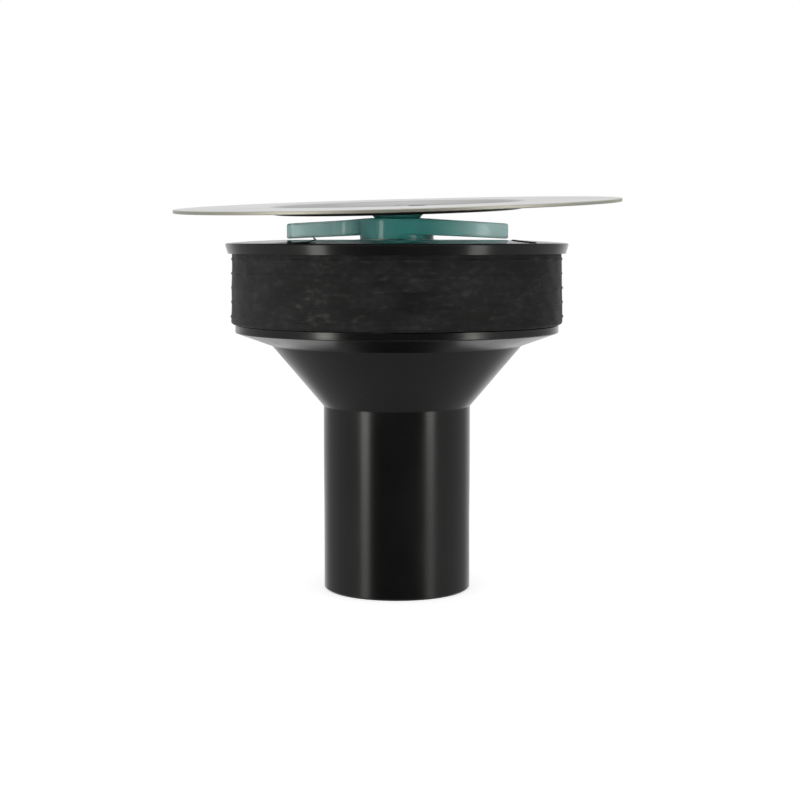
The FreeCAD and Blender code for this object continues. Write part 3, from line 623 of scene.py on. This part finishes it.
def sleeve_points(settings):
    """Section of the sleeve carried round the axis. The outer wall at height z has the radius r(z, t) = a
    straight taper + a parabola 1 - (2 (z - lip) / width)^2 on each lip, whose height is worn by a sum of
    sines of the angle t, and the whole wall wanders by a sum of waves in angle and height."""
    low, high = SLEEVE_LOW.z, SLEEVE_HIGH.z
    turn = np.linspace(0, 2 * math.pi, SLEEVE_STEPS_ROUND, endpoint=False)
    wall_z = np.linspace(low + settings.edge_round, high, SLEEVE_STEPS_UP)
    narrowing = settings.top_radius - settings.bottom_radius
    taper = settings.bottom_radius + narrowing * (wall_z - low) / (high - low)
    rng = np.random.default_rng(SLEEVE_SEED)
    lips = high - settings.lip_drop - settings.lip_pitch * np.arange(settings.lip_count)
    off_lip = (wall_z[:, None] - lips) / (settings.lip_width / 2)
    ridges = settings.lip_proud * np.clip(1 - off_lip ** 2, 0, None)
    wear_turns = rng.integers(*LIP_WAVE_TURNS, (settings.lip_count, LIP_WAVES))
    wear_phase = rng.uniform(0, 2 * math.pi, wear_turns.shape)
    wear = np.sin(turn[:, None, None] * wear_turns + wear_phase).sum(axis=2) / math.sqrt(LIP_WAVES)
    left_over = np.clip(LIP_LEFT + LIP_WEAR * wear, 0, 1)
    wall_r = taper[:, None] + ridges @ left_over.T
    bend = np.linspace(-math.pi / 2, 0, SLEEVE_EDGE_STEPS, endpoint=False)
    edge_r = settings.bottom_radius - settings.edge_round * (1 - np.cos(bend))
    edge_z = low + settings.edge_round * (1 + np.sin(bend))
    plain = np.ones((1, len(turn)))
    bore_r = settings.bore_radius * plain
    radii = np.concatenate([bore_r, edge_r[:, None] * plain, wall_r, bore_r])
    heights = np.concatenate([[low], edge_z, wall_z, [high]])
    outside = np.concatenate([[0], np.linspace(0, 1, len(bend)), np.ones(len(wall_z)), [0]])
    around = rng.integers(*WALL_WAVE_TURNS, WALL_WAVES)
    up = rng.uniform(-WALL_WAVE_RISE, WALL_WAVE_RISE, WALL_WAVES)
    phase = rng.uniform(0, 2 * math.pi, WALL_WAVES)
    waves = np.sin(around * turn[:, None] + phase + heights[:, None, None] * up).sum(axis=2)
    wander = settings.wave * waves / math.sqrt(WALL_WAVES) * outside[:, None]
    return turned(radii + wander, heights[:, None], turn)


def bolt_points(settings):
    """Bolt as one skin round the axis. The head is a round cap, the neck a square whose radius at an angle
    t is half the side over the larger of |cos t| and |sin t|, up to its cut corners, and the thread's
    radius falls from its crest by the depth times a triangle wave of (height / pitch - t / one turn)."""
    turn = np.linspace(0, 2 * math.pi, BOLT_STEPS_ROUND, endpoint=False)
    ones = np.ones_like(turn)
    crown = settings.head_height - settings.head_edge
    square = settings.neck_side / 2 / np.maximum(np.abs(np.cos(turn)), np.abs(np.sin(turn)))
    square = np.minimum(square, settings.neck_side / 2 * NECK_CORNER)
    seat = BOLT_LOW.z + settings.head_height
    neck = seat + settings.neck_length
    plain = neck + settings.plain_length
    thread_z = np.arange(plain, BOLT_HIGH.z, settings.thread_pitch / BOLT_STEPS_PER_PITCH)[:, None]
    wave = np.abs(2 * ((thread_z / settings.thread_pitch - turn / (2 * math.pi)) % 1) - 1)
    runout = np.clip((thread_z - plain) / settings.thread_pitch, 0, 1)
    chamfer = settings.bolt_radius - np.clip(thread_z - (BOLT_HIGH.z - settings.end_chamfer), 0, None)
    thread_r = np.minimum(settings.bolt_radius - settings.thread_depth * wave * runout, chamfer)
    rows = [(settings.head_radius * math.sin(tilt) * ones, BOLT_LOW.z + crown * (1 - math.cos(tilt)))
            for tilt in np.linspace(0, math.pi / 2, BOLT_HEAD_STEPS)]
    rows += [(settings.head_radius * ones, seat), (square, seat), (square, neck)]
    rows += [(settings.bolt_radius * ones, neck)]
    radii = np.concatenate([[radius for radius, height in rows], thread_r, [thread_r[-1], 0 * ones]])
    end_z = [BOLT_HIGH.z, BOLT_HIGH.z]
    heights = np.concatenate([[height for radius, height in rows], thread_z[:, 0], end_z])
    return turned(radii, heights[:, None], turn)


class DRAIN_OT_mouldings(bpy.types.Operator):
    """Finish the black body and cover"""

    bl_idname = "drain.mouldings"
    bl_label = "Black mouldings"

    def execute(self, context):
        settings = context.scene.drain_plastic
        dress(black_finish("body_black", settings, settings.body_roughness, BODY_RINGS), "drain_body")
        dress(black_finish("cover_black", settings, settings.cover_roughness, COVER_RINGS), "clamp_cover")
        return {"FINISHED"}


class DRAIN_OT_flash(bpy.types.Operator):
    """Lay the two torn threads of flash on the cover"""

    bl_idname = "drain.flash"
    bl_label = "Flash threads"

    def execute(self, context):
        settings = context.scene.drain_flash
        plastic = context.scene.drain_plastic
        torn = black_finish("flash_black", plastic, plastic.flash_roughness, FLASH_RINGS)
        for side, lift, knot in (("left", settings.left_lift, settings.knot), ("right", 0.0, 0.0)):
            middle, half = getattr(settings, side + "_place"), getattr(settings, side + "_half")
            start, end = getattr(settings, side + "_from"), getattr(settings, side + "_to")
            points = thread_points(settings, middle, half, start, end, lift, knot)
            thread = grid_object(side + "_flash_thread", points, False, FLASH_CREASE)
            thread.data.materials.append(torn)
            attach(thread, "cover")
        return {"FINISHED"}


class DRAIN_OT_sleeve(bpy.types.Operator):
    """Make the rubber sleeve and hang it on the body"""

    bl_idname = "drain.sleeve"
    bl_label = "Rubber sleeve"

    def execute(self, context):
        settings = context.scene.drain_sleeve
        sleeve = grid_object("rubber_sleeve", sleeve_points(settings), True, SLEEVE_CREASE)
        sleeve.data.materials.append(rubber_finish(settings))
        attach(sleeve, "body")
        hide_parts("sealing_sleeve")
        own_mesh(sleeve)
        return {"FINISHED"}


class DRAIN_OT_wing(bpy.types.Operator):
    """Finish the teal wing nut and the plate's boss"""

    bl_idname = "drain.wing"
    bl_label = "Wing nut and boss"

    def execute(self, context):
        dress(teal_finish(context.scene.drain_plastic), "wing_nut", "plate_boss")
        return {"FINISHED"}


class DRAIN_OT_plate(bpy.types.Operator):
    """Finish the pressed plate and its screw"""

    bl_idname = "drain.plate"
    bl_label = "Tile plate"

    def execute(self, context):
        dress(plate_finish(context.scene.drain_steel), "tile_plate", "plate_screw")
        return {"FINISHED"}


class DRAIN_OT_fasteners(bpy.types.Operator):
    """Make the threaded bolt, and finish the nut and washer"""

    bl_idname = "drain.fasteners"
    bl_label = "Fasteners"

    def execute(self, context):
        settings = context.scene.drain_steel
        zinc = zinc_finish(settings)
        dress(zinc, "clamp_nut", "thrust_washer")
        bolt = grid_object("threaded_bolt", bolt_points(settings), False, BOLT_CREASE)
        bolt.data.materials.append(zinc)
        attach(bolt, "body")
        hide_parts("clamp_bolt")
        return {"FINISHED"}


def split_by_ray(tree, shown, other):
    """A shader that only rays from the camera see, and another for all other rays."""
    rays = tree.nodes.new("ShaderNodeLightPath")
    mixed = add_node(tree, "ShaderNodeMixShader", {0: rays.outputs["Is Camera Ray"], 1: other, 2: shown})
    return mixed.outputs[0]


def build_world(settings):
    """White paper behind the drain, a room in front that is dark low down and paler above, and a pale
    ceiling; the camera sees plain white."""
    world = bpy.data.worlds.new("studio")
    world.use_nodes = True
    tree = world.node_tree
    tree.nodes.clear()
    towards = add_node(tree, "ShaderNodeTexCoord").outputs["Generated"]
    apart = add_node(tree, "ShaderNodeSeparateXYZ", {0: towards}).outputs
    front = rise(tree, apart["Z"], FRONT_WALL_Z, (settings.front_level, settings.front_high_level))
    side = rise(tree, apart["Y"], FRONT_TO_SIDE_Y, (front, settings.side_level))
    paper = rise(tree, apart["Y"], SIDE_TO_PAPER_Y, (0.0, settings.back_level - settings.side_level))
    below = rise(tree, apart["Z"], BELOW_Z, (settings.below_level, 1.0), "LINEAR")
    ceiling = rise(tree, apart["Z"], CEILING_Z, (0.0, settings.ceiling_level))
    walls = calculate(tree, "ADD", side, paper)
    room = calculate(tree, "MULTIPLY", walls, below)
    shade = calculate(tree, "MAXIMUM", room, ceiling)
    studio = add_node(tree, "ShaderNodeBackground", {"Color": shade}).outputs[0]
    white = add_node(tree, "ShaderNodeBackground", {"Color": (1, 1, 1, 1)}).outputs[0]
    add_node(tree, "ShaderNodeOutputWorld", {"Surface": split_by_ray(tree, white, studio)})
    bpy.context.scene.world = world


def build_floor(settings):
    """Pale floor that the drain stands on; it takes the shadow, fades to the white backdrop further out,
    and mirrors see the room through it."""
    half = settings.floor_half
    corners = [(-half, -half, 0), (half, -half, 0), (half, half, 0), (-half, half, 0)]
    mesh = bpy.data.meshes.new("floor")
    mesh.from_pydata(corners, [], [(0, 1, 2, 3)])
    floor = bpy.data.objects.new("floor", mesh)
    bpy.context.scene.collection.objects.link(floor)
    finish = Finish("floor_paper")
    tree = finish.tree
    tree.nodes.remove(finish.shader)
    lit = add_node(tree, "ShaderNodeBsdfDiffuse", {"Color": (*settings.floor_colour, 1)}).outputs[0]
    lift = add_node(tree, "ShaderNodeEmission", {"Strength": settings.floor_lift}).outputs[0]
    near = add_node(tree, "ShaderNodeAddShader", {0: lit, 1: lift}).outputs[0]
    white = add_node(tree, "ShaderNodeEmission", {"Strength": 1.0}).outputs[0]
    out = finish.mask(build_zone, edge=settings.floor_fade, soft=settings.floor_fade / 2)
    shown = add_node(tree, "ShaderNodeMixShader", {0: out, 1: near, 2: white}).outputs[0]
    tree.links.new(split_by_ray(tree, shown, lit), finish.output.inputs["Surface"])
    mesh.materials.append(finish.material)
    floor.visible_glossy = False
    floor.visible_transmission = False
    floor.visible_shadow = False


def shade_lamp(lamp, stops):
    """Let a lamp's face change in brightness from its bottom to its top; a stop is a height and a share."""
    lamp.use_nodes = True
    tree = lamp.node_tree
    tree.nodes.clear()
    face = add_node(tree, "ShaderNodeTexCoord").outputs["UV"]
    up = add_node(tree, "ShaderNodeSeparateXYZ", {0: face}).outputs["Y"]
    ramp = add_node(tree, "ShaderNodeValToRGB", {"Fac": up})
    elements = ramp.color_ramp.elements
    while len(elements) < len(stops):
        elements.new(0.5)
    for element, (position, share) in zip(elements, stops):
        element.position = position
        element.color = (share, share, share, 1)
    light = add_node(tree, "ShaderNodeEmission", {"Color": ramp.outputs["Color"]})
    add_node(tree, "ShaderNodeOutputLight", {"Surface": light.outputs[0]})


def add_lamp(name, spot, target, width, height, brightness):
    """A soft box at a spot that faces a target; its brightness is that of its face, where 1 is white, and
    its power is that times pi and the face's area."""
    lamp = bpy.data.lights.new(name, "AREA")
    lamp.shape = "RECTANGLE"
    lamp.size = width
    lamp.size_y = height
    lamp.energy = brightness * math.pi * width * height
    made = bpy.data.objects.new(name, lamp)
    made.location = spot
    made.rotation_euler = (Vector(target) - Vector(spot)).to_track_quat("-Z", "Y").to_euler()
    bpy.context.scene.collection.objects.link(made)
    return made


def round_axis(distance, turn, height):
    """A place at a distance from the drain's axis, turned from the camera's side."""
    return distance * math.sin(turn), -distance * math.cos(turn), height


def build_lamps(settings):
    """A soft box on each side of the camera with the lit table under it, a lamp overhead, and a low lamp in
    front that no mirror shows."""
    middle = (settings.lamp_low + settings.lamp_high) / 2
    height = settings.lamp_high - settings.lamp_low
    low = settings.lamp_low - settings.glow_height / 2
    for side, sign in (("left", -1), ("right", 1)):
        turn = sign * getattr(settings, side + "_turn")
        glow_turn = sign * getattr(settings, side + "_glow_turn")
        brightness = getattr(settings, side + "_level")
        foot = getattr(settings, side + "_foot")
        box = add_lamp(side + "_soft_box", round_axis(settings.lamp_distance, turn, middle), (0, 0, middle),
                       settings.lamp_width, height, brightness)
        shade_lamp(box.data, [(at, share * foot) for at, share in SOFT_BOX_FOOT] + list(SOFT_BOX_BAND))
        glow_spot = round_axis(settings.lamp_distance, glow_turn, low)
        glow = add_lamp(side + "_table_glow", glow_spot, (0, 0, low), settings.lamp_width,
                        settings.glow_height, brightness * settings.glow_share)
        box.data.color = settings.lamp_colour
        glow.data.color = settings.lamp_colour
    add_lamp("top_soft_box", (0, -settings.top_forward, settings.top_height), (0, 0, 0),
             settings.top_width, settings.top_width, settings.top_level)
    wing_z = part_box("wing_nut")[1].z
    fill = add_lamp("fill_strip", (0, -settings.fill_distance, wing_z), (0, 0, wing_z),
                    settings.fill_width, settings.fill_height, settings.fill_level)
    fill.visible_glossy = False


class DRAIN_OT_stage(bpy.types.Operator):
    """Floor, white surroundings, lamps and the camera"""

    bl_idname = "drain.stage"
    bl_label = "Stage"

    def execute(self, context):
        settings = context.scene.drain_stage
        context.scene.view_settings.view_transform = "Standard"
        build_world(settings)
        build_floor(settings)
        build_lamps(settings)
        camera = bpy.data.objects.new("camera", bpy.data.cameras.new("camera"))
        camera.data.lens = settings.camera_lens
        camera.location = (settings.camera_offset, -settings.camera_distance, settings.camera_height)
        camera.rotation_euler = (math.pi / 2 - settings.camera_pitch, 0, 0)
        context.scene.collection.objects.link(camera)
        context.scene.camera = camera
        return {"FINISHED"}


OPERATORS = (DRAIN_OT_mouldings, DRAIN_OT_flash, DRAIN_OT_sleeve, DRAIN_OT_wing, DRAIN_OT_plate,
             DRAIN_OT_fasteners, DRAIN_OT_stage)
SETTINGS = {
    "drain_stage": StageSettings,
    "drain_plastic": PlasticSettings,
    "drain_flash": FlashSettings,
    "drain_sleeve": SleeveSettings,
    "drain_steel": SteelSettings,
}


class DRAIN_PT_panel(bpy.types.Panel):
    """The drain's pieces and their settings"""

    bl_idname = "DRAIN_PT_panel"
    bl_label = "Floor drain"
    bl_space_type = "VIEW_3D"
    bl_region_type = "UI"
    bl_category = "Drain"

    def draw(self, context):
        for operator in OPERATORS:
            self.layout.operator(operator.bl_idname)
        for name, group in SETTINGS.items():
            box = self.layout.box()
            box.label(text=group.__doc__)
            for key in group.__annotations__:
                box.prop(getattr(context.scene, name), key)


CLASSES = (*SETTINGS.values(), *OPERATORS, DRAIN_PT_panel)


def register():
    """Add the settings, the operators and the panel."""
    for added in CLASSES:
        bpy.utils.register_class(added)
    for name, group in SETTINGS.items():
        setattr(bpy.types.Scene, name, PointerProperty(type=group))


def unregister():
    """Take them away again."""
    for name in SETTINGS:
        delattr(bpy.types.Scene, name)
    for added in reversed(CLASSES):
        bpy.utils.unregister_class(added)


def main():
    """Make every piece, then the stage."""
    register()
    bpy.ops.drain.mouldings()
    bpy.ops.drain.flash()
    bpy.ops.drain.sleeve()
    bpy.ops.drain.wing()
    bpy.ops.drain.plate()
    bpy.ops.drain.fasteners()
    bpy.ops.drain.stage()


if __name__ == "__main__":
    main()
